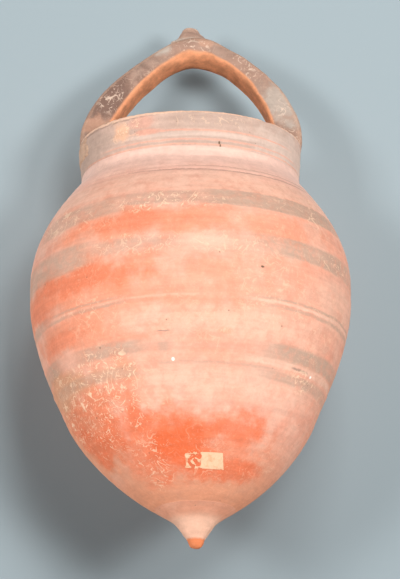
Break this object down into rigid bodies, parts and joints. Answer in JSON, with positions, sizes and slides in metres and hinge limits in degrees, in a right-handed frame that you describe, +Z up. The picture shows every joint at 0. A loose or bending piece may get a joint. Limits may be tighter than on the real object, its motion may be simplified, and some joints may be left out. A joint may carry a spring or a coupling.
{
  "type": "amphora",
  "caption": "Pointed-base terracotta jar with a wide low neck, a strap handle arched over the mouth, a small knob on the handle, and faded painted bands round the body.",
  "frame": {"origin": "the tip of the toe, on the jar's axis, with the jar upright", "axes": "+Z up along the jar's axis to the mouth; the handle arches from -X to +X; -Y is the front, with the label"},
  "size_m": [0.1448, 0.1448, 0.2458],
  "materials": {
    "body_clay": "unglazed orange-pink terracotta with faded grey bands, matt and dusty",
    "neck_clay": "unglazed terracotta under a worn grey-mauve wash with fine incised rings",
    "toe_clay": "unglazed buff-pink terracotta, its tip worn to orange",
    "handle_clay": "unglazed brown-grey terracotta, hand-smoothed",
    "knob_clay": "unglazed brown terracotta, pinched by hand",
    "luting_clay": "unglazed terracotta, pressed and smeared",
    "label_paper": "aged buff paper, stained and torn"
  },
  "bodies": {
    "root": {"toe": "toe_clay", "lower_body": "body_clay", "upper_body": "body_clay", "neck_collar": "neck_clay", "handle_strap": "handle_clay", "handle_knob": "knob_clay", "handle_wad_left": "luting_clay", "handle_wad_right": "luting_clay", "paper_label": "label_paper"}
  },
  "joints": []
}
